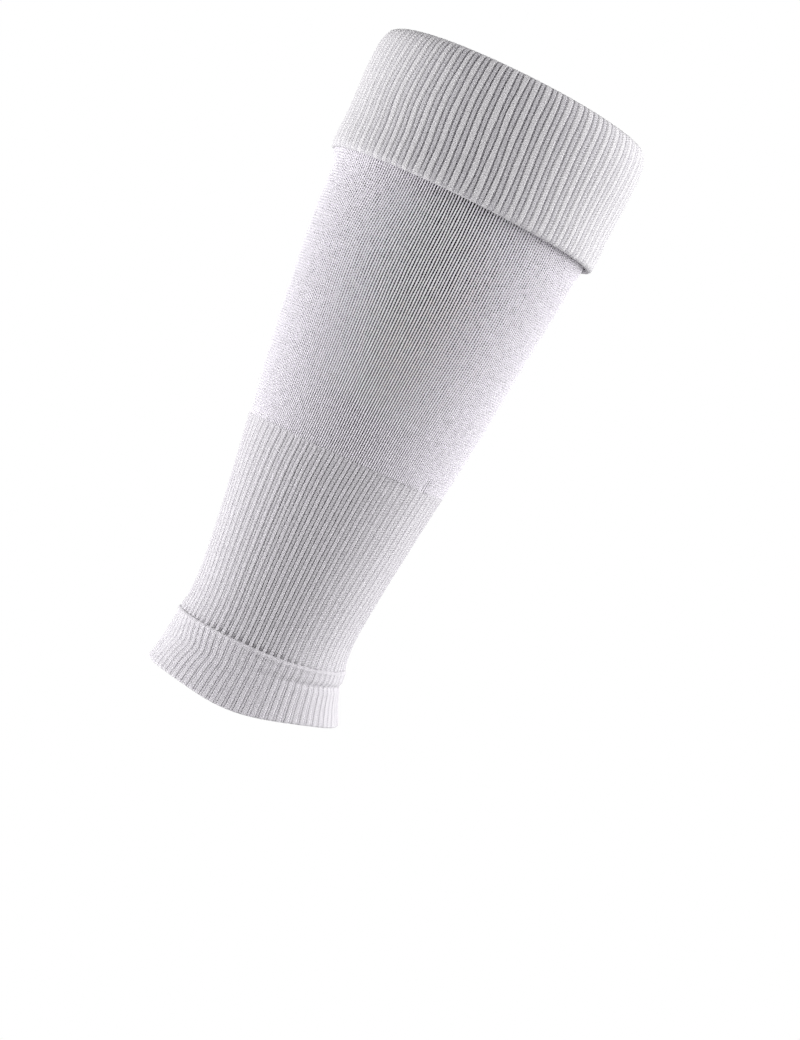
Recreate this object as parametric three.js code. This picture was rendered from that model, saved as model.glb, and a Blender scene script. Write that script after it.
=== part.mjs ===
// Footless football sock: a knitted leg sleeve, worn from just above the ankle to just below the
// knee, with its ribbed top turned down. Millimetres, +Z up along the leg, the front towards -Y.
// The origin is the centre of the ankle opening. Angles start at the front and run towards +X.

import * as THREE from "three";

// The knit
const NEEDLES = 144; // wales around the tube, one for each needle of the knitting machine
const ANKLE_RIBS = NEEDLES / 2; // one-by-one rib: every second wale stands proud
const CUFF_RIBS = NEEDLES; // on the cuff every wale stands proud, alternate ones a little less
const FACETS_PER_RIB = 2; // a crest and a valley
const JERSEY_FACETS = 60; // around the plain calf

// Walls, from the crests of the ribs to the inner face, and the depth of the relief
const JERSEY_WALL = 1.2;
const RIB_WALL = 2.1;
const RIB_DEPTH = 0.6;
const HEM_WALL = 2.4;
const CUFF_RIB_DEPTH = 0.6;
const CUFF_LOW_CREST = 0.25; // how far alternate crests lie below the others, as a share of the depth
const JOIN_GAP = 0.3; // between one zone of the tube and the next

// Heights of the lines that divide the zones
const RIDGE_HEIGHT = 23.5; // raised line along the top of the hem
const RIB_START = 117.3; // where the jersey gives way to the ankle rib
const CUFF_EDGE = 242; // lower edge of the turned cuff
const RIM_HEIGHT = 300.4; // top of the fold

// The worn leg: outer radius of the tube at each height
const ANKLE_SECTIONS = [
  { height: RIDGE_HEIGHT + JOIN_GAP, radius: 40.7 },
  { height: 34.5, radius: 39.5 },
  { height: 55, radius: 41 },
  { height: RIB_START, radius: 48.8 },
];
const CALF_SECTIONS = [
  { height: RIB_START + JOIN_GAP, radius: 48.8 },
  { height: 172, radius: 55.7 },
  { height: CUFF_EDGE, radius: 62.3 },
];

// The turned cuff's section, up the outside, over the fold, down inside and round the slot
// between the two layers. Relief is the share of the rib depth that shows there.
const CUFF_SECTIONS = [
  { height: CUFF_EDGE + 0.8, radius: 62.7, relief: 0 }, // welt against the calf
  { height: CUFF_EDGE, radius: 65.2, relief: 0.7 }, // welt, lower corner
  { height: CUFF_EDGE + 4.5, radius: 66.6, relief: 1 },
  { height: RIM_HEIGHT - 16, radius: 67.4, relief: 1 },
  { height: RIM_HEIGHT - 4, radius: 66.7, relief: 1 }, // shoulder of the fold
  { height: RIM_HEIGHT, radius: 63.4, relief: 1 }, // top of the fold
  { height: RIM_HEIGHT - 3.5, radius: 60, relief: 0 }, // inner layer, top
  { height: CUFF_EDGE + JOIN_GAP, radius: 61.1, relief: 0 }, // inner layer, lower end
  { height: CUFF_EDGE + JOIN_GAP, radius: 62.3, relief: 0 },
  { height: RIM_HEIGHT - 3, radius: 62.6, relief: 0 }, // slot, top
  { height: RIM_HEIGHT - 8, radius: 65.3, relief: 0 },
];

// The hem's section, up the outside and down inside. Rise is the share of the hem's height, flare
// the share of its flare, tuck the share of the tuck: outwards on its roll, inwards in its crease.
const HEM_NECK = 41.1;
const HEM_SECTIONS = [
  { rise: 0, radius: HEM_NECK - HEM_WALL / 2, flare: 0.95, tuck: 0, relief: 0.5 }, // lower edge
  { rise: 0.07, radius: HEM_NECK, flare: 0.95, tuck: 0, relief: 1 },
  { rise: 0.33, radius: HEM_NECK, flare: 0.48, tuck: 0, relief: 1 },
  { rise: 0.66, radius: HEM_NECK, flare: 0.12, tuck: -1, relief: 1 }, // crease
  { rise: 0.85, radius: HEM_NECK, flare: 0, tuck: 0.5, relief: 1 }, // roll
  { rise: 0.96, radius: HEM_NECK + 0.6, flare: 0, tuck: 0, relief: 0.4 }, // raised line
  { rise: 1, radius: HEM_NECK - 0.4, flare: 0, tuck: 0, relief: 0.4 },
  { rise: 1, radius: HEM_NECK - HEM_WALL, flare: 0, tuck: 0, relief: 0 },
  { rise: 0.4, radius: HEM_NECK - HEM_WALL, flare: 0.38, tuck: -0.3, relief: 0 },
];
const HEM_FLARE = 5.5; // the lower edge flares out, more on the right
const HEM_FLARE_RIGHT = 1.9;
const HEM_TILT = 3; // the lower edge rises to the right
const HEM_DROOP = 4.6; // and hangs down at the front
const HEM_DROOP_ARC = THREE.MathUtils.degToRad(35);
const RIDGE_LIFT = 3.7; // the raised line rises on the right
const RIDGE_LIFT_FADE = 40; // height over which the rib above it follows
const TUCK_DEPTH = 1.1;
const TUCK_ANGLE = THREE.MathUtils.degToRad(60); // the tuck lies at the right front
const TUCK_ARC = THREE.MathUtils.degToRad(55);

// The upper part leans a little to the right
const LEAN = 0.0265;
const LEAN_START = 196;
const LEAN_RAMP = 30;

// White knit, faintly cool
const WHITE_RIB = new THREE.MeshStandardMaterial({ color: "#dedce1", roughness: 0.9, metalness: 0 });
const WHITE_JERSEY = new THREE.MeshStandardMaterial({ color: "#d9d7dd", roughness: 0.85, metalness: 0 });
const WHITE_WELT = new THREE.MeshStandardMaterial({ color: "#e2e0e5", roughness: 0.9, metalness: 0 });

// A bell-shaped share, one at its centre, of an angle's distance from that centre.
function bell(angle, centre, arc) {
  const away = THREE.MathUtils.euclideanModulo(angle - centre + Math.PI, 2 * Math.PI) - Math.PI;
  return Math.exp(-((away / arc) ** 2));
}

// How far the raised line lies above its height at the front.
function ridgeLift(angle) {
  return RIDGE_LIFT * Math.max(Math.sin(angle), 0) ** 2;
}

// The hem's lower edge: tilted, and drooping at the front.
function hemEdge(angle) {
  return HEM_TILT * Math.sin(angle) - HEM_DROOP * bell(angle, 0, HEM_DROOP_ARC);
}

// Bends a point of the straight sleeve over to the right, with the level lines turning as it does.
function lean(x, y, z) {
  const turn = LEAN * THREE.MathUtils.clamp((z - LEAN_START) / LEAN_RAMP, 0, 1);
  return [x + turn * (z - LEAN_START), y, z - turn * x];
}

// A ring knitted round the leg: a closed section of rows turned about the axis, with each vertex
// set to the radius and height that pointAt gives for its row, facet and angle.
function knittedRing(name, rows, facets, pointAt, material) {
  const section = rows.map((row) => new THREE.Vector2(row.radius, row.height ?? row.rise));
  section.push(section[0].clone());
  const geometry = new THREE.LatheGeometry(section, facets);
  const corners = geometry.attributes.position;
  for (let corner = 0; corner < corners.count; corner += 1) {
    const facet = Math.floor(corner / section.length) % facets;
    const row = rows[(corner % section.length) % rows.length];
    const angle = (2 * Math.PI * facet) / facets;
    const { radius, height } = pointAt(row, facet, angle);
    corners.setXYZ(corner, ...lean(radius * Math.sin(angle), -radius * Math.cos(angle), height));
  }
  geometry.computeVertexNormals();
  const ring = new THREE.Mesh(geometry, material);
  ring.name = name;
  return ring;
}

// Share of the rib depth that a facet lies below the crests of a one-by-one rib.
function ribValley(facet) {
  return facet % FACETS_PER_RIB;
}

// A plain wall's section: up the outside, then down the inside.
function wallSection(sections, wall) {
  const outside = sections.map((section) => ({ ...section, relief: 1 }));
  const inside = sections.map((section) => ({
    height: section.height,
    radius: section.radius - wall,
    relief: 0,
  }));
  return [...outside, ...inside.reverse()];
}

// The ribbed top, folded over: two layers joined at the rim.
function turnedCuff() {
  const pointAt = (row, facet) => {
    const lowCrest = facet % (2 * FACETS_PER_RIB) === 0 ? 0 : CUFF_LOW_CREST;
    const depth = CUFF_RIB_DEPTH * Math.max(ribValley(facet), lowCrest);
    return { radius: row.radius - depth * row.relief, height: row.height };
  };
  return knittedRing("turned_cuff", CUFF_SECTIONS, CUFF_RIBS * FACETS_PER_RIB, pointAt, WHITE_RIB);
}

// The plain jersey between the cuff and the ankle rib.
function calfTube() {
  const pointAt = (row) => ({ radius: row.radius, height: row.height });
  const rows = wallSection(CALF_SECTIONS, JERSEY_WALL);
  return knittedRing("calf_tube", rows, JERSEY_FACETS, pointAt, WHITE_JERSEY);
}

// The ribbed lower leg, whose lower end follows the hem's raised line.
function ankleRib() {
  const pointAt = (row, facet, angle) => {
    const follow = Math.max(1 - (row.height - RIDGE_HEIGHT - JOIN_GAP) / RIDGE_LIFT_FADE, 0);
    return {
      radius: row.radius - RIB_DEPTH * ribValley(facet) * row.relief,
      height: row.height + ridgeLift(angle) * follow,
    };
  };
  const rows = wallSection(ANKLE_SECTIONS, RIB_WALL);
  return knittedRing("ankle_rib", rows, ANKLE_RIBS * FACETS_PER_RIB, pointAt, WHITE_RIB);
}

// The doubled welt at the ankle: raised line, tuck at the right front, flared lower edge.
function ankleHem() {
  const pointAt = (row, facet, angle) => {
    const flare = HEM_FLARE + HEM_FLARE_RIGHT * Math.sin(angle);
    const tuck = TUCK_DEPTH * bell(angle, TUCK_ANGLE, TUCK_ARC);
    const edge = hemEdge(angle);
    const ridge = RIDGE_HEIGHT + ridgeLift(angle);
    return {
      radius: row.radius + row.flare * flare + row.tuck * tuck
        - RIB_DEPTH * ribValley(facet) * row.relief,
      height: edge + row.rise * (ridge - edge),
    };
  };
  return knittedRing("ankle_hem", HEM_SECTIONS, ANKLE_RIBS * FACETS_PER_RIB, pointAt, WHITE_WELT);
}

const sock = new THREE.Group();
sock.name = "footless_football_sock";
sock.add(turnedCuff(), calfTube(), ankleRib(), ankleHem());

export default sock;
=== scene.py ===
"""Footless football sock: a white knitted leg sleeve with its ribbed top turned down, shown as worn.

In the values and tables below lengths are millimetres and angles radians. The leg runs up +Z, its
front faces -Y, and angles start at the front and run towards +X. Every zone of the knit is a wall
closed on itself: a grid whose rows go round the wall's section and whose columns go round the leg.
"""

import bpy
import numpy as np
from mathutils import Matrix, Vector


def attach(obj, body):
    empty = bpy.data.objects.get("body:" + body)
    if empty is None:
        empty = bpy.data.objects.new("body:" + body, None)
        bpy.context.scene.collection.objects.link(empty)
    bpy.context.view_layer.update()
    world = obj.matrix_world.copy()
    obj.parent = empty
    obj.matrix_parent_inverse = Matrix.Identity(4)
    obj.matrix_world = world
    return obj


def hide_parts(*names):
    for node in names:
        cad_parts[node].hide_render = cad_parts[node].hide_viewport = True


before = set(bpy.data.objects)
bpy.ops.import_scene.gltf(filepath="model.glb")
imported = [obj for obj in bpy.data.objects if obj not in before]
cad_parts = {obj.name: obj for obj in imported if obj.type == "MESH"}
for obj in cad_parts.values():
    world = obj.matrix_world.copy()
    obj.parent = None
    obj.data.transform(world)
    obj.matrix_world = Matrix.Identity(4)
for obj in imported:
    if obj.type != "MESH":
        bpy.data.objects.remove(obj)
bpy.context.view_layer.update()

MM = 0.001

# The knit: one wale for each needle of the machine
WALES = 144
WALE_ANGLE = 2 * np.pi / WALES  # that one wale takes up round the leg
COURSE = 1.22  # height of a row of stitches
KNIT_MAP = "knit"  # wales across, courses along
BAKE_MAP = "OFBake"  # the wall laid out flat on the unit square
EDGE = 0.08  # size of the rounding at a cut edge

# How far furry yarn shades as the plain wall under its ribs or cords would
RIB_FUR = 0.85
HEM_FUR = 0.5
JERSEY_FUR = 0.4

# Unevenness of the zones. Drift and wobble move the wales aside and swell moves the wall out: size,
# seed, waves round the leg, shortest wave along it. Proud is how far single wales stand out: size, seed
LONG_WAVES = (1, 9)
SHORT_WAVES = (20, 70)

# Heights of the lines that divide the zones
RIDGE_HEIGHT = 23.5
RIB_START = 117.3
CUFF_EDGE = 242.0

# The worn leg: height, outer radius
LEG = (
    (20.0, 41.2),
    (23.5, 40.7),
    (27.6, 40.0),
    (34.5, 39.45),
    (41.4, 39.6),
    (55.2, 40.8),
    (69.0, 42.3),
    (82.8, 44.1),
    (100.0, 46.4),
    (117.3, 48.8),
    (145.0, 52.6),
    (180.0, 56.6),
    (221.0, 60.7),
    (246.0, 62.5),
)
# Height, and how much wider than even the wales lie at the front there
SPREAD = (
    (-8.0, -0.05),
    (24.0, -0.015),
    (45.0, 0.01),
    (84.0, 0.03),
    (105.0, 0.015),
    (126.0, -0.02),
    (150.0, -0.01),
    (198.0, 0.04),
    (222.0, 0.014),
    (245.0, -0.012),
)
# Height, and how far the wales have turned round the leg there
TWIST = (
    (-8.0, -0.07),
    (24.0, -0.03),
    (60.0, -0.021),
    (84.0, -0.009),
    (105.0, 0.012),
    (117.0, 0.036),
    (138.0, 0.061),
    (174.0, 0.096),
    (198.0, 0.107),
    (245.0, 0.111),
)

# The upper part leans a little to the right
LEAN = 0.0265
LEAN_START = 196.0
LEAN_RAMP = 30.0

# Jersey: each wale shows two legs of yarn, round cords with a gap beside each
JERSEY_WALL = 1.2
JERSEY_TOP = CUFF_EDGE + 1.0  # just inside the cuff
JERSEY_ROWS = (44, 8)  # up the outside, down the inside
JERSEY_LEG = 0.5  # wales that one leg takes up
JERSEY_COLUMNS = (0.0, 0.11, 0.14, 0.25, 0.36, 0.39)  # wales, across one leg
JERSEY_GROOVE = ((117.0, 0.6), (180.0, 0.72), (246.0, 0.8))  # height, depth between the legs
JERSEY_START = 0.15  # height over which the gaps open above the rib
JERSEY_CORD = 0.5  # share of a leg's room that its cord fills
JERSEY_ROUNDING = 0.3  # roundness of the cords, as a share of the groove's depth
JERSEY_DRIFT = (0.0022, 21, LONG_WAVES, 90.0)
JERSEY_WOBBLE = (0.0012, 23, SHORT_WAVES, 14.0)
JERSEY_SWELL = (0.1, 22, LONG_WAVES, 120.0)
JERSEY_PROUD = (0.012, 12)
# The pucker above the rib at the right and the lip beside it: how far out, height and length; then the
# angle and arc of each
PUCKER = (-0.9, 119.0, 4.5)
PUCKER_PLACE = (np.radians(50.0), 0.035)
PUCKER_LIP = (0.4, 119.0, 6.0)
PUCKER_LIP_PLACE = (PUCKER_PLACE[0] + 0.06, 0.05)
# Up to the cuff's edge the wales are drawn aside at the left front and the jersey flares at the left:
# how far, from which height, and the angle and arc of each
DRAWN_ASIDE = 0.05
DRAWN_FROM = 200.0
DRAWN_PLACE = (np.radians(-48.0), np.radians(24.0))
CALF_FLARE = 2.7
CALF_FLARE_FROM = 234.0
CALF_FLARE_PLACE = (np.radians(-90.0), np.radians(40.0))

# Ribs of every zone: high and low ridges by turns, one a wale, with a slot between every two
RIDGE_ROUNDING = 0.1  # how far a ridge's shoulders lie below its middle, as a share of the slots' depth
RIDGE_COLUMNS = (0.0, 0.4, 0.75, 1.0)  # shares of the way from a high ridge's middle to its slot
SLOT_SIDE = 0.05  # width in wales of a slot's steep sides

# Ankle rib
RIB_WALL = 2.1
RIB_FOOT = RIDGE_HEIGHT - 0.4  # just below the top of the hem
RIB_TOP = RIB_START + 0.1  # just past the jersey's lower edge
RIB_ROWS = (62, 10)  # up the outside, down the inside
RIB_DEPTH = 0.85  # of its slots
RIB_SLOT = (0.45, 0.65)  # the two sides of a slot, in wales from a high ridge's middle
RIB_LOW = 0.3  # how low the purl wales lie, as a share of the depth
RIB_INSIDE = 0.4  # share of the depth that shows on the inner face
RIB_WIDENING = ((20.0, 0.09), (70.0, 0.04), (118.0, -0.08))  # height, wales a ridge's edges move out
RIB_SLOTS_TOP = RIB_START + 0.4  # where the highest slots start
RIB_SLOTS_LATE = (0.5, 34)  # how far below it the others start: size, seed
RIB_SLOTS_FIRST = 0.4  # share of the depth that they start with
RIB_SLOTS_RUN = 2.0  # height over which they reach all of it
RIB_DRIFT = (0.004, 31, LONG_WAVES, 80.0)
RIB_WOBBLE = (0.0012, 33, SHORT_WAVES, 16.0)
RIB_SWELL = (0.1, 32, LONG_WAVES, 90.0)
RIB_PROUD = (0.04, 11)

# Hem: the doubled welt at the ankle. Rise is the share of its height
HEM_NECK = 41.1
HEM_WALL = 2.4
HEM_LENGTH = 28.0  # along the knit at the front
HEM_ROWS = (8, 48, 14)  # round the lower edge, up the outside, down the inside
HEM_DEPTH = 0.5
HEM_SLOT = (0.5, 0.72)
HEM_LOW = 0.3
HEM_INSIDE = 0.2
HEM_FLARE = 5.6
HEM_FLARE_RIGHT = 1.9  # how much more it flares at the right
HEM_FLARE_POWER = 1.8
HEM_TILT = 3.0
HEM_DROOP = 4.6
HEM_DROOP_ARC = np.radians(35.0)
HEM_EDGE_DROP = 0.45  # how far the round lower edge hangs down, as a share of the wall
HEM_EDGE_SMOOTHING = 0.45  # share of the slots' depth that is lost there
HEM_TOP_IN = 0.5  # how far the top draws in
HEM_TOP_FROM = 0.96  # rise from which it does
RIDGE_LIFT = 3.7  # how much higher the raised line lies at the right
RIDGE_LIFT_FADE = 40.0  # height over which the rib above follows it
HEM_DRIFT = (0.004, 41, LONG_WAVES, 60.0)
HEM_SWELL = (0.2, 42, LONG_WAVES, 60.0)
HEM_PROUD = (0.05, 43)
# Wales that bend aside: how far, rise and its width; then angle and arc
HEM_BEND = (0.06, 0.58, 0.18)
HEM_BEND_PLACE = (np.radians(-52.0), np.radians(32.0))
# The tuck's angle and arc; its roll, its crease and the raised line: how far out, rise and its width
TUCK_PLACE = (np.radians(60.0), np.radians(55.0))
TUCK_ROLL = (0.75, 0.83, 0.11)
TUCK_CREASE = (-1.0, 0.665, 0.06)
RAISED_LINE = (0.4, 0.955, 0.04)
# Share of the slots' depth that is lost on the raised line and on the roll, rise and its width
LINE_SMOOTHING = (0.8, 0.97, 0.035)
ROLL_SMOOTHING = (0.35, 0.83, 0.12)

# Cuff
CUFF_DEPTH = 0.85
CUFF_SLOT = (0.42, 0.75)
CUFF_LOW = 0.2
CUFF_LEVEL = 245.0  # height whose spread and twist the whole cuff has
CUFF_ROWS = (72, 10)  # along the path, round the pocket
CUFF_CLOSENESS = 1.3  # power that sets the rows closer together at the lower edge
CUFF_FLIP_ROW = 57  # row well down the inner layer from which slots are cut outwards, not inwards
CUFF_DRIFT = (0.003, 51, LONG_WAVES, 70.0)
CUFF_WOBBLE = (0.0025, 53, SHORT_WAVES, 20.0)
CUFF_SWELL = (0.2, 52, LONG_WAVES, 110.0)
CUFF_PROUD = (0.05, 54)
# Wales that slant: how far, between which heights; wales that bend: how far, height and length; then
# the angle and arc of each
CUFF_SLANT = -0.043
CUFF_SLANT_RUN = (245.0, 288.0)
CUFF_SLANT_PLACE = (np.radians(8.0), np.radians(40.0))
CUFF_BEND = (-0.032, 271.0, 14.0)
CUFF_BEND_PLACE = (np.radians(-54.0), np.radians(26.0))
# Radius, height, share of the rib's relief; up the outside, over the fold and down inside
CUFF_PATH = (
    (62.7, 241.9, 0.0),
    (63.7, 241.2, 0.05),
    (64.9, 241.0, 0.1),
    (65.8, 241.4, 0.2),
    (66.3, 242.5, 0.4),
    (66.55, 245.0, 0.8),
    (66.65, 249.0, 1.0),
    (66.5, 257.0, 1.0),
    (66.9, 269.0, 1.0),
    (67.4, 281.0, 1.0),
    (67.3, 289.0, 1.0),
    (66.7, 294.2, 1.0),
    (65.7, 297.6, 1.0),
    (64.3, 299.8, 1.0),
    (62.9, 300.4, 1.0),
    (61.5, 299.4, 0.9),
    (60.5, 296.7, 0.8),
    (60.2, 292.0, 0.6),
    (60.5, 279.0, 0.5),
    (61.1, 243.0, 0.5),
)
# Radius, height; up the inner layer's outside, round the pocket's top and down the outer layer's inside
CUFF_POCKET = (
    (62.3, 243.0),
    (62.4, 288.0),
    (62.9, 296.4),
    (64.0, 297.1),
    (65.0, 294.2),
    (65.2, 283.0),
    (64.4, 250.0),
)

# Yarn
STITCH_HEIGHT = 0.35
STRAY_SIZE = 2.2  # of the yarn's unevenness
STRAY_SHIFT = 0.7  # courses by which that moves the stitches
FUZZ_SIZE = 0.55  # of the fibres
FUZZ_HEIGHT = 0.1  # as a share of the stitches'
JERSEY_GLOW = (0.7, 0.6)  # share of the light that goes into the yarn, and how far it spreads there
RIB_GLOW = (0.85, 0.8)

# Stitches of the jersey
VEE_SLANT = 1.4  # courses that a leg rises in a wale
VEE_SHIFT = 0.3  # courses by which one leg's beads lie above another's
CORD_HEIGHT = 0.7
BEAD_HEIGHT = 0.12
GAP_PINCH = 0.055  # wales by which the beads narrow a gap
GAP_RAGGED = 0.08  # wales by which stray fibres make its sides uneven
GAP_SHADE_EDGES = (0.165, 0.11)  # wales from a gap's middle at which its painted shade starts and is full
GAP_SHADE_SLACK = 0.5  # share of the painted gap shade where the jersey starts
GAP_STRETCHED = 200.0  # height from which all of that painted shade shows

# Stitches of the ribs
STRAND_SLANT = 1.7  # courses that a strand rises in a wale
STRAND_HEIGHT = 0.55
CREASE_WIDTH = 0.1  # wales, from the middle of a ridge, where its two strands meet
CREASE_LIGHT = 0.4  # share of a strand's lightness that shows there; the rest is painted shade in the crease
BAR_EDGE = (0.15, 0.45)  # courses from a hole's middle at which a bar starts and is whole
SLOT_SCALLOP = 0.1  # wales by which stitches bulge into a slot
SLOT_RAGGED = 0.06  # wales by which stray fibres make its sides uneven
SLOT_SHADE_EDGES = (0.03, -0.09)  # wales beyond a slot's sides at which its painted shade starts and is full
SHADOW_DOTS_FROM = 50.0  # height above which the holes along the ridges' right feet are painted darker as the ridges' shadow
FOOT_SHADE = (26.2, 24.5)  # heights at which the shade above the raised line starts and is full
FOOT_SHADE_SHARE = 0.5

# Colours of the jersey's strands, darker and lighter: painted shade between the stitch beads and painted
# highlight on them; and of the deepest painted shades: the jersey's gaps, the shadow dots along the ribs'
# right feet and the shade above the hem's raised line
JERSEY_STRAND_SHADE_HIGHLIGHT = ("#d0cdd3", "#e1dde4")
GAP_SHADE_COLOUR = "#29212d"
SHADOW_DOT_COLOUR = "#2b252b"
FOOT_SHADE_COLOUR = "#4a464b"
# Colours of the ribs: high ridges, darker and lighter, low ridges, darker and lighter, bars, holes. Darker
# and lighter are painted shade between the stitches and painted highlight on them; the low ridges are
# painted darker as the high ridges' shade, and the bars and holes as the shade in the slots
CUFF_COLOURS = ("#c3c1c4", "#dad8db", "#b6b4b8", "#cdcbcf", "#c6c3c8", "#918e96")
RIB_COLOURS = ("#c1bec3", "#d8d5da", "#b7b4b9", "#cccace", "#aba8ad", "#7b787d")
HEM_COLOURS = ("#c8c5ca", "#d7d4d9", "#c4c1c6", "#d3d0d5", "#c9c6cb", "#bcb9be")

# Inputs of a node that mixes two colours, and what makes a wave of 0 to a half one of 0 to 1
FIRST_COLOUR = 6
SECOND_COLOUR = 7
WHOLE = 2.0

# Camera: where the photograph was taken from, and the point in the middle of the picture
CAMERA_PLACE = (0.0, -1104.0, 142.6)
PICTURE_MIDDLE = (34.9, 0.0, 100.7)
PICTURE_RIGHT = (0.90973, 0.0, 0.41521)
LENS = 83.1

# Studio: the floor, and a large softbox at each side, the right one high, the left one low, with its
# place and size in metres and its power in watts
FLOOR_LEVEL = -450.0
FLOOR_REACH = 6000.0
FLOOR_COLOUR = "#d4d4d4"
SOFTBOXES = (
    ("right_softbox", (1.0, -0.27, 0.7), (1.8, 1.6), 32.5),
    ("left_softbox", (-1.2, -0.29, 0.0), (1.8, 0.9), 26.5),
)
SOFTBOX_AIM = (0.0, 0.0, 0.15)
WHITE = "#ffffff"
FILL = 0.03


def smooth(x, table, column=1):
    """Curve through a table's rows: cubic pieces with the mean slope of the neighbours at each row."""
    xs = np.array([row[0] for row in table])
    ys = np.array([row[column] for row in table])
    slopes = np.gradient(ys, xs)
    i = np.clip(np.searchsorted(xs, x) - 1, 0, len(xs) - 2)
    step = xs[i + 1] - xs[i]
    t = np.clip((x - xs[i]) / step, 0.0, 1.0)
    start = ys[i] * (1 + 2 * t) * (1 - t) ** 2 + slopes[i] * step * t * (1 - t) ** 2
    end = ys[i + 1] * t**2 * (3 - 2 * t) - slopes[i + 1] * step * t**2 * (1 - t)
    return start + end


def smooth_path(points, count, closeness=1.0):
    """Points on a smooth curve through the given ones, which keep their columns: evenly spaced, or
    closer at the start where closeness, the power that the share of the length goes with, is above 1."""
    points = np.array(points)
    run = np.concatenate([[0.0], np.cumsum(np.linalg.norm(np.diff(points[:, :2], axis=0), axis=1))])
    at = run[-1] * np.linspace(0.0, 1.0, count) ** closeness
    table = np.column_stack([run, points])
    return [smooth(at, table, column) for column in range(1, table.shape[1])]


def bell(angle, centre, arc):
    """Bell-shaped share, one at its centre, of an angle's distance from that centre."""
    away = (angle - centre + np.pi) % (2 * np.pi) - np.pi
    return np.exp(-((away / arc) ** 2))


def hump(x, size, centre, width):
    """Bell-shaped hump along a length: its size at the centre, less with the distance from there."""
    return size * np.exp(-(((x - centre) / width) ** 2))


def ease(x, low, high):
    """Smooth step from 0 at low to 1 at high."""
    t = np.clip((x - low) / (high - low), 0.0, 1.0)
    return t * t * (3 - 2 * t)


def ripple(angle, height, size, seed, turns, reach):
    """Gentle unevenness of about minus to plus size: waves that go a whole number of times round the
    leg, from the first of turns to just short of the last, each slanting along it with its own phase
    and a wavelength of at least reach."""
    rng = np.random.default_rng(seed)
    rounds = range(*turns)
    total = np.zeros(np.broadcast(angle, height).shape)
    for around in rounds:
        slant, phase = rng.uniform(-1, 1), rng.uniform(0, 2 * np.pi)
        total = total + np.cos(around * angle + slant * 2 * np.pi * height / reach + phase)
    return size * (total / np.sqrt(len(rounds)))


def each_wale(wale, size, seed):
    """A random value of about the given size for every wale, the same down its whole length."""
    return size * np.random.default_rng(seed).normal(size=WALES)[np.floor(wale).astype(int) % WALES]


def lean(x, y, z):
    """Bends the straight sleeve over: above LEAN_START x moves by turn times the height above it,
    and z falls by turn times x, so that level lines turn with the axis."""
    turn = LEAN * np.clip((z - LEAN_START) / LEAN_RAMP, 0.0, 1.0)
    return x + turn * (z - LEAN_START), y, z - turn * x


def on_leg(angle, radius, height):
    """Points in metres from angle, radius and height: x = r sin a, y = -r cos a, z = h, then bent."""
    return np.stack(lean(radius * np.sin(angle), -radius * np.cos(angle), height), axis=-1) * MM


def columns_of(places, repeat):
    """Wale at each column: the places within one repeat of the knit, again for every repeat, from
    the back of the leg round its front to the back."""
    return np.add.outer(np.arange(round(WALES / repeat)) * repeat, places).ravel()


def fabric_angle(wale):
    """The fabric's own angle round the leg: a whole turn for all the wales, the front at the middle."""
    return WALE_ANGLE * wale - np.pi


def worn_angle(fabric, height, shift):
    """Where each column lies on the leg at each height: a = t + spread sin t, t = f + twist + shift."""
    turned = fabric + smooth(height, TWIST) + shift
    return turned + smooth(height, SPREAD) * np.sin(turned)


def jersey_profile(wale):
    """Depth below the crests across the jersey, as a share of the groove: two round cords a wale,
    each falling away slowly and then steeply to the floor of the gap."""
    away = np.abs((wale / JERSEY_LEG) % 1.0 - 0.5) * 2
    return np.where(away < JERSEY_CORD, JERSEY_ROUNDING * away**2, 1.0)


def ridge_side(wale):
    """Distance in wales from the middle of the nearest high ridge, negative on its left."""
    return (wale + 0.5) % 2 - 1


def rib_profile(wale, slot, low):
    """Depth below the crests across a rib, as a share of its slots' depth: a rounded high ridge at the
    middle of every second wale, a rounded low one between, at the share low, and a slot with steep
    sides, from slot[0] to slot[1] in wales from the high ridge's middle, between the two."""
    away = np.abs(ridge_side(wale))
    high_top = RIDGE_ROUNDING * (away / slot[0]) ** 2
    low_top = low + RIDGE_ROUNDING * ((1 - away) / (1 - slot[1])) ** 2
    return np.where(away <= slot[0], high_top, np.where(away >= slot[1], low_top, 1.0))


def rib_columns(slot):
    """Places of the columns across two wales, close together at the sides of the slots."""
    high = [share * slot[0] for share in RIDGE_COLUMNS]
    sunk = [slot[0] + SLOT_SIDE, slot[1] - SLOT_SIDE]
    low = [slot[1], 0.5 + 0.5 * slot[1], 1.0]
    right = np.array(high + sunk + low)
    return np.concatenate([0.5 + right, 2.5 - right[-2:0:-1]])


def wall_rows(low, high, rows):
    """Heights of a plain wall's rows, up the outside and down the inside, and which of them are
    outside. Two rows lie close together at each end of the outside, so that the edges shade crisply."""
    outside = np.concatenate([[low], np.linspace(low + EDGE, high - EDGE, rows[0]), [high]])
    inside = np.linspace(high, low, rows[1])
    height = np.concatenate([outside, inside])[:, None]
    return height, (np.arange(len(height)) < len(outside))[:, None]


def section_run(radius, height):
    """Length along a closed section at each of its rows and, last, all the way round."""
    steps = np.hypot(np.diff(radius, append=radius[:1]), np.diff(height, append=height[:1]))
    return np.concatenate([[0.0], np.cumsum(steps)])


def grid_normals(points):
    """Unit normals of a closed grid: the step to the next column crossed with the step to the next row,
    each taken from the neighbour before to the one after."""
    around = np.roll(points, -1, axis=1) - np.roll(points, 1, axis=1)
    along = np.roll(points, -1, axis=0) - np.roll(points, 1, axis=0)
    normal = np.cross(around, along)
    return normal / np.linalg.norm(normal, axis=-1, keepdims=True)


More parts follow.
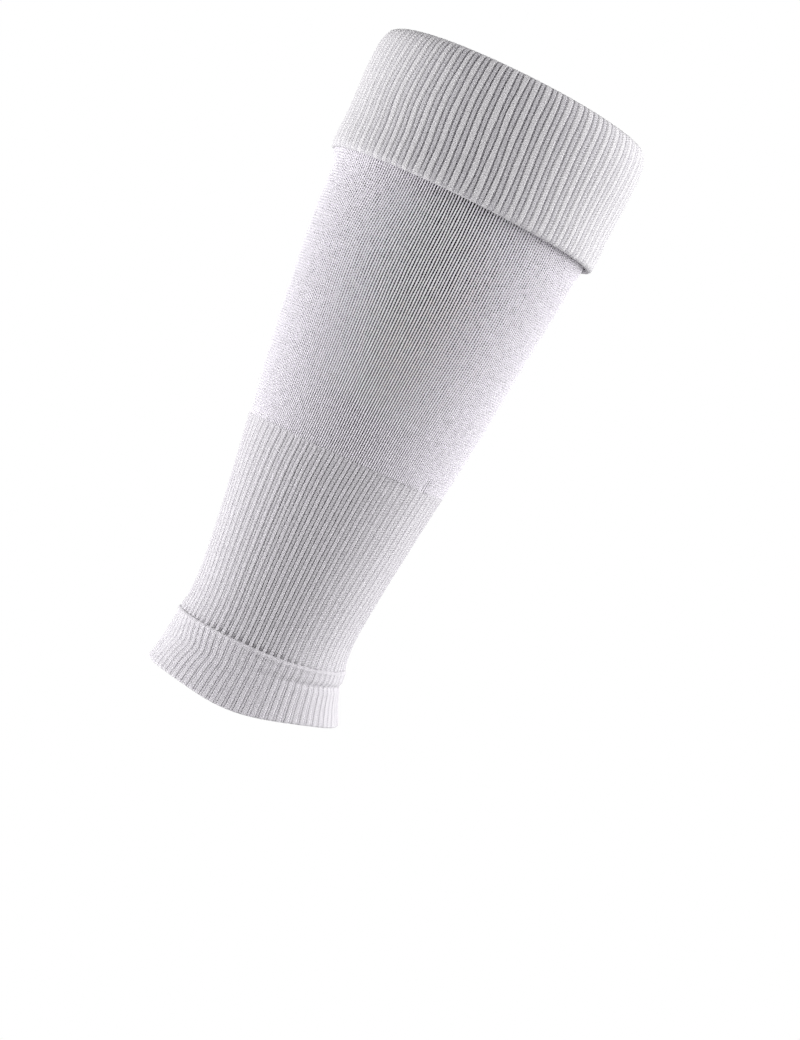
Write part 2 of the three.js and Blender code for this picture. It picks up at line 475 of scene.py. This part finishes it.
def knitted_tube(name, points, wall, fur, wale, section):
    """Mesh of a wall from its grid of points, joined last to first both ways. wall is the same grid
    without its ribs: furry yarn spreads the light, so the ribs shade by the share fur as the plain
    wall would. wale is the place of each column, and section the length along the wall's section at
    each row and, last, all round."""
    rows, columns = points.shape[:2]
    faces = rows * columns
    row, column = np.meshgrid(np.arange(rows), np.arange(columns), indexing="ij")
    after, beside = (row + 1) % rows * columns, (column + 1) % columns
    row_start = row * columns
    corners = np.stack([row_start + column, row_start + beside, after + beside, after + column], axis=-1)
    mesh = bpy.data.meshes.new(name)
    mesh.vertices.add(rows * columns)
    mesh.vertices.foreach_set("co", points.astype(np.float32).ravel())
    mesh.loops.add(corners.size)
    mesh.loops.foreach_set("vertex_index", corners.ravel())
    mesh.polygons.add(faces)
    mesh.polygons.foreach_set("loop_start", np.arange(faces) * corners.shape[-1])
    mesh.polygons.foreach_set("use_smooth", np.ones(faces, bool))
    across = np.append(wale, wale[0] + WALES)[np.stack([column, column + 1, column + 1, column], axis=-1)]
    along = section[np.stack([row, row, row + 1, row + 1], axis=-1)]
    for map_name, u, v in (
        (KNIT_MAP, across, along / COURSE),
        (BAKE_MAP, (across - wale[0]) / WALES, along / section[-1]),
    ):
        flat_map = mesh.uv_layers.new(name=map_name)
        flat_map.uv.foreach_set("vector", np.stack([u, v], axis=-1).astype(np.float32).ravel())
    mesh.update(calc_edges=True)
    mesh.validate()
    leaning = fur * grid_normals(wall) + (1 - fur) * grid_normals(points)
    mesh.normals_split_custom_set_from_vertices(leaning.reshape(-1, 3).tolist())
    piece = bpy.data.objects.new(name, mesh)
    bpy.context.collection.objects.link(piece)
    return piece


def calf_tube():
    """Plain jersey from the rib up to just inside the cuff: the leg's radius less the groove's depth
    between the legs of yarn, with a small pucker where the rib starts and a flare under the cuff."""
    wale = columns_of(JERSEY_COLUMNS, JERSEY_LEG)
    fabric = fabric_angle(wale)
    height, is_out = wall_rows(RIB_START, JERSEY_TOP, JERSEY_ROWS)
    base = smooth(height, LEG) - np.where(is_out, 0.0, JERSEY_WALL)
    drift = ripple(fabric, height, *JERSEY_DRIFT) + ripple(fabric, height, *JERSEY_WOBBLE)
    drawn = DRAWN_ASIDE * bell(fabric, *DRAWN_PLACE) * ease(height, DRAWN_FROM, CUFF_EDGE)
    angle = worn_angle(fabric, height, drift + drawn)
    started = ease(height, RIB_START, RIB_START + JERSEY_START)
    groove = smooth(height, JERSEY_GROOVE) * started * jersey_profile(wale)
    uneven = each_wale(wale, *JERSEY_PROUD) + ripple(fabric, height, *JERSEY_SWELL)
    pucker = hump(height, *PUCKER) * bell(angle, *PUCKER_PLACE)
    lip = hump(height, *PUCKER_LIP) * bell(angle, *PUCKER_LIP_PLACE)
    flared = CALF_FLARE * bell(angle, *CALF_FLARE_PLACE) * ease(height, CALF_FLARE_FROM, CUFF_EDGE)
    radius = base + np.where(is_out, uneven - groove + pucker + lip + flared, 0.0)
    run = section_run(base[:, 0], height[:, 0])
    points, wall = [on_leg(angle, reach, height) for reach in (radius, base)]
    return knitted_tube("calf_jersey", points, wall, JERSEY_FUR, wale, run)


def ridge_lift(angle):
    """How far the raised line along the hem's top lies above its height at the front."""
    return RIDGE_LIFT * np.clip(np.sin(angle), 0.0, 1.0) ** 2


def hem_edge(angle):
    """Height of the hem's lower edge: tilted, and drooping at the front."""
    return HEM_TILT * np.sin(angle) - HEM_DROOP * bell(angle, 0.0, HEM_DROOP_ARC)


def ankle_rib():
    """One-by-one rib from the hem's raised line up to the jersey: the leg's radius less the rib's
    profile, whose slots start just under the jersey, and whose edges move aside up the leg."""
    wale = columns_of(rib_columns(RIB_SLOT), 2)
    fabric = fabric_angle(wale)
    height, is_out = wall_rows(RIB_FOOT, RIB_TOP, RIB_ROWS)
    base = smooth(height, LEG) - np.where(is_out, 0.0, RIB_WALL)
    drift = ripple(fabric, height, *RIB_DRIFT) + ripple(fabric, height, *RIB_WOBBLE)
    side = ridge_side(wale)
    edge = 2 * np.minimum(np.abs(side), 1 - np.abs(side)) * np.sign(side)
    widening = WALE_ANGLE * edge * smooth(height, RIB_WIDENING)
    angle = worn_angle(fabric, height, drift + widening)
    top = RIB_SLOTS_TOP - np.abs(each_wale((wale + 0.5) // 2 * 2, *RIB_SLOTS_LATE))
    opened = RIB_SLOTS_FIRST + (1 - RIB_SLOTS_FIRST) * ease(top - height, 0.0, RIB_SLOTS_RUN)
    depth = RIB_DEPTH * rib_profile(wale, RIB_SLOT, RIB_LOW) * opened
    uneven = each_wale(wale, *RIB_PROUD) + ripple(fabric, height, *RIB_SWELL)
    radius = base + np.where(is_out, uneven - depth, RIB_INSIDE * depth)
    follow = np.clip(1 - (height - RIDGE_HEIGHT) / RIDGE_LIFT_FADE, 0.0, 1.0)
    lifted = height + ridge_lift(angle) * follow
    run = section_run(base[:, 0], height[:, 0])
    points, wall = [on_leg(angle, reach, lifted) for reach in (radius, base)]
    return knitted_tube("ankle_rib_knit", points, wall, RIB_FUR, wale, run)


def ankle_hem():
    """Doubled welt: the neck's radius plus the flare times (1 - rise) to a power, the tuck's roll and
    crease, and the raised line at its top, with a round lower edge. Rise is the share of its height."""
    wale = columns_of(rib_columns(HEM_SLOT), 2)
    fabric = fabric_angle(wale)
    turn = np.linspace(np.pi, 0.0, HEM_ROWS[0] + 2)[1:-1]
    up = np.linspace(0.0, 1.0, HEM_ROWS[1])
    down = np.linspace(1.0, 0.0, HEM_ROWS[2])
    rise = np.concatenate([0 * turn, up, down])[:, None]
    across = np.concatenate([-(1 - np.cos(turn)) / 2, 0 * up, -1 + 0 * down])[:, None]
    below = np.concatenate([np.sin(turn), 0 * up, 0 * down])[:, None]
    is_out = across > -0.5
    drift = ripple(fabric, HEM_LENGTH * rise, *HEM_DRIFT)
    bend = hump(rise, *HEM_BEND) * bell(fabric, *HEM_BEND_PLACE)
    angle = worn_angle(fabric, RIDGE_HEIGHT * rise, drift + bend)
    flare = (HEM_FLARE + HEM_FLARE_RIGHT * np.sin(angle)) * (1 - rise) ** HEM_FLARE_POWER
    tuck = bell(angle, *TUCK_PLACE)
    fold = hump(rise, *TUCK_ROLL) + hump(rise, *TUCK_CREASE)
    line = hump(rise, *RAISED_LINE)
    neck = HEM_NECK - HEM_TOP_IN * ease(rise, HEM_TOP_FROM, 1.0)
    plain = neck + flare + tuck * fold + across * HEM_WALL
    shown = 1 - hump(rise, *LINE_SMOOTHING) - tuck * hump(rise, *ROLL_SMOOTHING)
    depth = HEM_DEPTH * rib_profile(wale, HEM_SLOT, HEM_LOW) * shown * (1 - HEM_EDGE_SMOOTHING * below)
    uneven = each_wale(wale, *HEM_PROUD) + ripple(fabric, HEM_LENGTH * rise, *HEM_SWELL)
    radius = plain + np.where(is_out, uneven - depth + line, HEM_INSIDE * depth)
    edge = hem_edge(angle)
    height = edge + rise * (RIDGE_HEIGHT + ridge_lift(angle) - edge) - HEM_EDGE_DROP * HEM_WALL * below
    front = len(wale) // 2
    run = section_run(radius[:, front], height[:, front])
    points, wall = [on_leg(angle, reach, height) for reach in (radius, plain + line)]
    return knitted_tube("hem_welt", points, wall, HEM_FUR, wale, run)


def turned_cuff():
    """Ribbed top turned down: its section runs up the outside, over the fold, down the inner layer
    and round the pocket between the layers; the rib's profile is cut into the faces that show."""
    wale = columns_of(rib_columns(CUFF_SLOT), 2)
    fabric = fabric_angle(wale)
    path_radius, path_height, path_relief = smooth_path(CUFF_PATH, CUFF_ROWS[0], CUFF_CLOSENESS)
    pocket_radius, pocket_height = smooth_path(CUFF_POCKET, CUFF_ROWS[1])
    base = np.concatenate([path_radius, pocket_radius])[:, None]
    height = np.concatenate([path_height, pocket_height])[:, None]
    relief = np.concatenate([path_relief, 0 * pocket_radius])[:, None]
    slant = CUFF_SLANT * ease(height, *CUFF_SLANT_RUN) * bell(fabric, *CUFF_SLANT_PLACE)
    bend = hump(height, *CUFF_BEND) * bell(fabric, *CUFF_BEND_PLACE)
    drift = ripple(fabric, height, *CUFF_DRIFT) + ripple(fabric, height, *CUFF_WOBBLE)
    angle = worn_angle(fabric, CUFF_LEVEL, slant + bend + drift)
    depth = CUFF_DEPTH * rib_profile(wale, CUFF_SLOT, CUFF_LOW)
    uneven = each_wale(wale, *CUFF_PROUD) + ripple(fabric, height, *CUFF_SWELL)
    outward = np.where(np.arange(len(base))[:, None] < CUFF_FLIP_ROW, -1.0, 1.0)
    radius = base + relief * (uneven + outward * depth)
    run = section_run(base[:, 0], height[:, 0])
    points, wall = [on_leg(angle, reach, height) for reach in (radius, base)]
    return knitted_tube("turned_cuff_rib", points, wall, RIB_FUR, wale, run)


def colour(code):
    """Linear colour with alpha from an sRGB hex code."""
    parts = np.array([int(code[i : i + 2], 16) for i in (1, 3, 5)]) / 255
    linear = np.where(parts <= 0.04045, parts / 12.92, ((parts + 0.055) / 1.055) ** 2.4)
    return (*linear.tolist(), 1.0)


def add(tree, kind, inputs=None, **settings):
    """Adds a node, sets its properties, and links or sets its inputs, a hex code as its colour; returns
    its first output in use, or None for a node that ends the tree."""
    made = tree.nodes.new(kind)
    for key, value in settings.items():
        setattr(made, key, value)
    for key, value in (inputs or {}).items():
        if isinstance(value, bpy.types.NodeSocket):
            tree.links.new(value, made.inputs[key])
        else:
            made.inputs[key].default_value = colour(value) if isinstance(value, str) else value
    return next((output for output in made.outputs if output.enabled), None)


def new_material(name):
    """An empty node material."""
    made = bpy.data.materials.new(name)
    made.use_nodes = True
    made.node_tree.nodes.clear()
    return made


def knit_coordinates(tree):
    """Sockets of the wale, the course, the height in the leg and a fine unevenness about zero."""
    flat = add(tree, "ShaderNodeUVMap", uv_map=KNIT_MAP)
    parts = add(tree, "ShaderNodeSeparateXYZ", {0: flat}).node
    place = add(tree, "ShaderNodeTexCoord").node.outputs["Object"]
    level = add(tree, "ShaderNodeSeparateXYZ", {0: place}).node.outputs["Z"]
    noise = add(
        tree,
        "ShaderNodeTexNoise",
        {"Vector": place, "Scale": 1 / (STRAY_SIZE * MM), "Detail": 2.0},
    )
    stray = add(tree, "ShaderNodeMath", {0: noise, 1: -0.5}, operation="ADD")
    along = add(
        tree,
        "ShaderNodeMath",
        {0: stray, 1: STRAY_SHIFT, 2: parts.outputs["Y"]},
        operation="MULTIPLY_ADD",
    )
    return parts.outputs["X"], along, level, stray


def yarn_surface(tree, base_colour, stitch_height, share, reach):
    """White polyester and cotton yarn: matt, with hardly any sheen, and soft to the eye, with
    stitches raised by bump and a fine fuzz of fibres over them. share is how much of the light goes
    into the yarn, and reach how far it spreads there, in millimetres, so that ridges look soft."""
    place = add(tree, "ShaderNodeTexCoord").node.outputs["Object"]
    fuzz = add(
        tree,
        "ShaderNodeTexNoise",
        {"Vector": place, "Scale": 1 / (FUZZ_SIZE * MM), "Detail": 3.0},
    )
    height = add(
        tree,
        "ShaderNodeMath",
        {0: fuzz, 1: FUZZ_HEIGHT, 2: stitch_height},
        operation="MULTIPLY_ADD",
    )
    bump = add(
        tree,
        "ShaderNodeBump",
        {"Strength": 1.0, "Distance": STITCH_HEIGHT * MM, "Height": height},
    )
    shader = add(
        tree,
        "ShaderNodeBsdfPrincipled",
        {
            "Base Color": base_colour,
            "Roughness": 0.9,
            "Subsurface Weight": share,
            "Subsurface Radius": (1.0, 1.0, 1.0),
            "Subsurface Scale": reach * MM,
            "Specular IOR Level": 0.12,
            "Sheen Weight": 0.01,
            "Sheen Roughness": 0.6,
            "Normal": bump,
        },
    )
    add(tree, "ShaderNodeOutputMaterial", {"Surface": shader})


def jersey_knit():
    """Plain jersey, stretched: each wale is a column of V stitches whose two legs stand up as bright
    cords, beaded by the courses, painted darker between the beads as shade and lighter on them as
    highlight; between them the knit opens in rows of dots painted dark as the shade inside the gaps,
    darker where it is stretched most, near the cuff."""
    made = new_material("white_jersey_knit")
    tree = made.node_tree
    across, along, level, stray = knit_coordinates(tree)
    leg = add(tree, "ShaderNodeMath", {0: across, 1: JERSEY_LEG / 2}, operation="PINGPONG")
    vee = add(tree, "ShaderNodeMath", {0: across, 1: JERSEY_LEG}, operation="PINGPONG")
    number = add(tree, "ShaderNodeMath", {0: across, 1: JERSEY_LEG}, operation="SNAP")
    chance = add(tree, "ShaderNodeTexWhiteNoise", {"W": number}, noise_dimensions="1D")
    shifted = add(tree, "ShaderNodeMath", {0: chance, 1: VEE_SHIFT, 2: along}, operation="MULTIPLY_ADD")
    phase = add(tree, "ShaderNodeMath", {0: vee, 1: VEE_SLANT, 2: shifted}, operation="MULTIPLY_ADD")
    wave = add(tree, "ShaderNodeMath", {0: phase, 1: 0.5}, operation="PINGPONG")
    bead = add(tree, "ShaderNodeMath", {0: wave, 1: WHOLE}, operation="MULTIPLY")
    pinch = add(tree, "ShaderNodeMath", {0: bead, 1: GAP_PINCH, 2: leg}, operation="MULTIPLY_ADD")
    ragged = add(tree, "ShaderNodeMath", {0: stray, 1: GAP_RAGGED, 2: pinch}, operation="MULTIPLY_ADD")
    # Painted shade in the gaps between the cords, narrowed by the beads and ragged at its sides
    gap = add(
        tree,
        "ShaderNodeMapRange",
        {"Value": ragged, "From Min": GAP_SHADE_EDGES[0], "From Max": GAP_SHADE_EDGES[1]},
        interpolation_type="SMOOTHSTEP",
    )
    # The painted gap shade grows up the leg, strongest where the knit is stretched most
    stretched = add(
        tree,
        "ShaderNodeMapRange",
        {"Value": level, "From Min": RIB_START * MM, "From Max": GAP_STRETCHED * MM, "To Min": GAP_SHADE_SLACK},
    )
    started = add(
        tree,
        "ShaderNodeMapRange",
        {"Value": level, "From Min": RIB_START * MM, "From Max": (RIB_START + JERSEY_START) * MM},
    )
    opening = add(tree, "ShaderNodeMath", {0: stretched, 1: started}, operation="MULTIPLY")
    dark = add(tree, "ShaderNodeMath", {0: gap, 1: opening}, operation="MULTIPLY")
    # Painted shade between the stitch beads and painted highlight on their tops
    strand = add(
        tree,
        "ShaderNodeMix",
        {"Factor": bead, FIRST_COLOUR: JERSEY_STRAND_SHADE_HIGHLIGHT[0], SECOND_COLOUR: JERSEY_STRAND_SHADE_HIGHLIGHT[1]},
        data_type="RGBA",
    )
    # The gaps painted dark as the shade inside the open knit
    base = add(
        tree,
        "ShaderNodeMix",
        {"Factor": dark, FIRST_COLOUR: strand, SECOND_COLOUR: GAP_SHADE_COLOUR},
        data_type="RGBA",
    )
    cord = add(tree, "ShaderNodeMath", {0: leg, 1: CORD_HEIGHT}, operation="MULTIPLY")
    height = add(tree, "ShaderNodeMath", {0: bead, 1: BEAD_HEIGHT, 2: cord}, operation="MULTIPLY_ADD")
    yarn_surface(tree, base, height, *JERSEY_GLOW)
    return made


def rib_knit(name, slot, colours, purl, foot_shadows):
    """Ribbed knit: high ridges and lower ones between them, each two strands of V stitches, with a slot
    of holes between every two, painted dark as the shade in the slots. slot gives the slots' two sides,
    in wales from a high ridge's middle; colours are those of the high ridges, the low ones, the bars
    across the slots and the holes, the ridges' each with a darker one before it. The darker ones are
    painted shade between the stitches and in the crease between the strands, the lighter ones painted
    highlight on them; the low ridges are painted darker as the high ridges' shade, and the bars and
    holes as the shade in the slots. Where purl is 1 the low ridges are ladders of bars.
    The last argument is the share of the painted shadow in the holes along the ridges' right feet,
    darkest where the rib meets the jersey, and of the painted shade at the rib's lower end."""
    made = new_material(name)
    tree = made.node_tree
    high_shaded, high_lit, low_shaded, low_lit, bar_shade_colour, hole_shade_colour = colours
    across, along, level, stray = knit_coordinates(tree)
    centred = add(tree, "ShaderNodeMath", {0: across, 1: -0.5}, operation="ADD")
    away = add(tree, "ShaderNodeMath", {0: centred, 1: 1.0}, operation="PINGPONG")
    inside = add(tree, "ShaderNodeMath", {0: centred, 1: 0.5}, operation="PINGPONG")
    low = add(
        tree,
        "ShaderNodeMapRange",
        {"Value": away, "From Min": slot[0], "From Max": slot[1]},
        interpolation_type="SMOOTHSTEP",
    )
    steep = add(
        tree,
        "ShaderNodeMapRange",
        {"Value": low, "To Min": STRAND_SLANT, "To Max": STRAND_SLANT * (1 - purl)},
    )
    slope = add(tree, "ShaderNodeMath", {0: inside, 1: steep, 2: along}, operation="MULTIPLY_ADD")
    wave = add(tree, "ShaderNodeMath", {0: slope, 1: 0.5}, operation="PINGPONG")
    low_crease = CREASE_LIGHT + (1 - CREASE_LIGHT) * purl
    parted = add(
        tree,
        "ShaderNodeMapRange",
        {"Value": low, "To Min": WHOLE * CREASE_LIGHT, "To Max": WHOLE * low_crease},
    )
    # The crease between a ridge's two strands, painted darker as shade
    crease = add(
        tree,
        "ShaderNodeMapRange",
        {"Value": inside, "From Max": CREASE_WIDTH, "To Min": parted, "To Max": WHOLE},
        interpolation_type="SMOOTHSTEP",
    )
    stitch = add(tree, "ShaderNodeMath", {0: wave, 1: crease}, operation="MULTIPLY")
    bar = add(tree, "ShaderNodeMath", {0: along, 1: 0.5}, operation="PINGPONG")
    ladder = add(
        tree,
        "ShaderNodeMapRange",
        {"Value": bar, "From Min": BAR_EDGE[0], "From Max": BAR_EDGE[1]},
        interpolation_type="SMOOTHSTEP",
    )
    middle = (slot[0] + slot[1]) / 2
    half = (slot[1] - slot[0]) / 2
    off = add(tree, "ShaderNodeMath", {0: away, 1: middle}, operation="SUBTRACT")
    aside = add(tree, "ShaderNodeMath", {0: off}, operation="ABSOLUTE")
    bulged = add(tree, "ShaderNodeMath", {0: stitch, 1: SLOT_SCALLOP, 2: aside}, operation="MULTIPLY_ADD")
    ragged = add(tree, "ShaderNodeMath", {0: stray, 1: SLOT_RAGGED, 2: bulged}, operation="MULTIPLY_ADD")
    # Slot floors: painted with the slots' shade, and where the bump follows the bars
    sunk = add(
        tree,
        "ShaderNodeMapRange",
        {"Value": ragged, "From Min": half + SLOT_SHADE_EDGES[0], "From Max": half + SLOT_SHADE_EDGES[1]},
        interpolation_type="SMOOTHSTEP",
    )
    # Painted shadow dots: the holes along each ridge's right foot darkened as the ridge's shadow, most
    # towards the jersey
    signed = add(tree, "ShaderNodeMath", {0: centred, 1: 1.0, 2: -1.0}, operation="WRAP")
    right = add(tree, "ShaderNodeMath", {0: signed, 1: 0.0}, operation="GREATER_THAN")
    top = add(
        tree,
        "ShaderNodeMapRange",
        {"Value": level, "From Min": SHADOW_DOTS_FROM * MM, "From Max": RIB_START * MM, "To Max": foot_shadows},
    )
    dot_shadow = add(tree, "ShaderNodeMath", {0: right, 1: top}, operation="MULTIPLY")
    # Painted shade in the low wales just above the hem's raised line
    foot = add(
        tree,
        "ShaderNodeMapRange",
        {
            "Value": level,
            "From Min": FOOT_SHADE[0] * MM,
            "From Max": FOOT_SHADE[1] * MM,
            "To Max": FOOT_SHADE_SHARE * foot_shadows,
        },
    )
    shade = add(tree, "ShaderNodeMath", {0: foot, 1: low}, operation="MULTIPLY")
    # Stitches painted darker as shade between them and lighter as highlight on them; low ridges painted
    # darker as the high ridges' shade
    high_yarn = add(
        tree,
        "ShaderNodeMix",
        {"Factor": stitch, FIRST_COLOUR: high_shaded, SECOND_COLOUR: high_lit},
        data_type="RGBA",
    )
    low_yarn = add(
        tree,
        "ShaderNodeMix",
        {"Factor": stitch, FIRST_COLOUR: low_shaded, SECOND_COLOUR: low_lit},
        data_type="RGBA",
    )
    yarn = add(
        tree,
        "ShaderNodeMix",
        {"Factor": low, FIRST_COLOUR: high_yarn, SECOND_COLOUR: low_yarn},
        data_type="RGBA",
    )
    # Holes painted dark as the slots' shade, darker still where a ridge's shadow is painted on them
    holes = add(
        tree,
        "ShaderNodeMix",
        {"Factor": dot_shadow, FIRST_COLOUR: hole_shade_colour, SECOND_COLOUR: SHADOW_DOT_COLOUR},
        data_type="RGBA",
    )
    # Bars and holes painted as the shade in the slots
    slot_shade_colour = add(
        tree,
        "ShaderNodeMix",
        {"Factor": ladder, FIRST_COLOUR: holes, SECOND_COLOUR: bar_shade_colour},
        data_type="RGBA",
    )
    slotted = add(
        tree,
        "ShaderNodeMix",
        {"Factor": sunk, FIRST_COLOUR: yarn, SECOND_COLOUR: slot_shade_colour},
        data_type="RGBA",
    )
    base = add(
        tree,
        "ShaderNodeMix",
        {"Factor": shade, FIRST_COLOUR: slotted, SECOND_COLOUR: FOOT_SHADE_COLOUR},
        data_type="RGBA",
    )
    raised = add(tree, "ShaderNodeMath", {0: stitch, 1: STRAND_HEIGHT}, operation="MULTIPLY")
    height = add(tree, "ShaderNodeMix", {"Factor": sunk, "A": raised, "B": bar}, data_type="FLOAT")
    yarn_surface(tree, base, height, *RIB_GLOW)
    return made


def white_paper():
    """White paper: seen by the camera it is pure white, and to the light it is matt and pale."""
    made = new_material("white_paper")
    tree = made.node_tree
    seen = add(tree, "ShaderNodeLightPath").node.outputs["Is Camera Ray"]
    glow = add(tree, "ShaderNodeEmission", {"Color": WHITE, "Strength": 1.0})
    matt = add(tree, "ShaderNodeBsdfDiffuse", {"Color": FLOOR_COLOUR})
    shader = add(tree, "ShaderNodeMixShader", {0: seen, 1: matt, 2: glow})
    add(tree, "ShaderNodeOutputMaterial", {"Surface": shader})
    return made


def studio():
    """Pale floor below the sock, white all round it, a large soft light at each side, and weak fill.
    The floor and the surround look white but give off little light of their own."""
    corners = np.array([(-1, -1, 0), (1, -1, 0), (1, 1, 0), (-1, 1, 0)]) * FLOOR_REACH + (0, 0, FLOOR_LEVEL)
    mesh = bpy.data.meshes.new("floor")
    mesh.from_pydata((corners * MM).tolist(), [], [(0, 1, 2, 3)])
    mesh.materials.append(white_paper())
    floor = bpy.data.objects.new("floor", mesh)
    bpy.context.collection.objects.link(floor)
    for name, place, size, power in SOFTBOXES:
        light = bpy.data.lights.new(name, "AREA")
        light.shape = "RECTANGLE"
        light.size, light.size_y = size
        light.energy = power
        lamp = bpy.data.objects.new(name, light)
        lamp.visible_camera = False
        lamp.location = place
        lamp.rotation_euler = (Vector(SOFTBOX_AIM) - Vector(place)).to_track_quat("-Z", "Y").to_euler()
        bpy.context.collection.objects.link(lamp)
    world = bpy.data.worlds.new("white_studio")
    world.use_nodes = True
    tree = world.node_tree
    tree.nodes.clear()
    seen = add(tree, "ShaderNodeLightPath").node.outputs["Is Camera Ray"]
    strength = add(tree, "ShaderNodeMapRange", {"Value": seen, "To Min": FILL, "To Max": 1.0})
    sky = add(tree, "ShaderNodeBackground", {"Color": WHITE, "Strength": strength})
    add(tree, "ShaderNodeOutputWorld", {"Surface": sky})
    bpy.context.scene.world = world
    bpy.context.scene.view_settings.view_transform = "Standard"


def camera():
    """Camera at the photograph's place, turned so that the sock leans to the right in the picture."""
    data = bpy.data.cameras.new("camera")
    data.lens = LENS
    eye = bpy.data.objects.new("camera", data)
    place = Vector(CAMERA_PLACE) * MM
    back = (place - Vector(PICTURE_MIDDLE) * MM).normalized()
    up = back.cross(Vector(PICTURE_RIGHT)).normalized()
    right = up.cross(back)
    eye.matrix_world = Matrix.Translation(place) @ Matrix((right, up, back)).transposed().to_4x4()
    bpy.context.collection.objects.link(eye)
    bpy.context.scene.camera = eye


def dress(piece, node, material):
    """Gives a piece its material, hangs it on the root body and hides the part of model.glb that it
    replaces.
    """
    piece.data.materials.append(material)
    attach(piece, "root")
    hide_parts(node)


camera()
studio()
cuff_knit = rib_knit("white_cuff_rib", CUFF_SLOT, CUFF_COLOURS, purl=0.0, foot_shadows=0.0)
ankle_knit = rib_knit("white_ankle_rib", RIB_SLOT, RIB_COLOURS, purl=1.0, foot_shadows=1.0)
hem_knit = rib_knit("white_hem_rib", HEM_SLOT, HEM_COLOURS, purl=0.0, foot_shadows=0.0)
dress(turned_cuff(), "turned_cuff", cuff_knit)
dress(calf_tube(), "calf_tube", jersey_knit())
dress(ankle_rib(), "ankle_rib", ankle_knit)
dress(ankle_hem(), "ankle_hem", hem_knit)
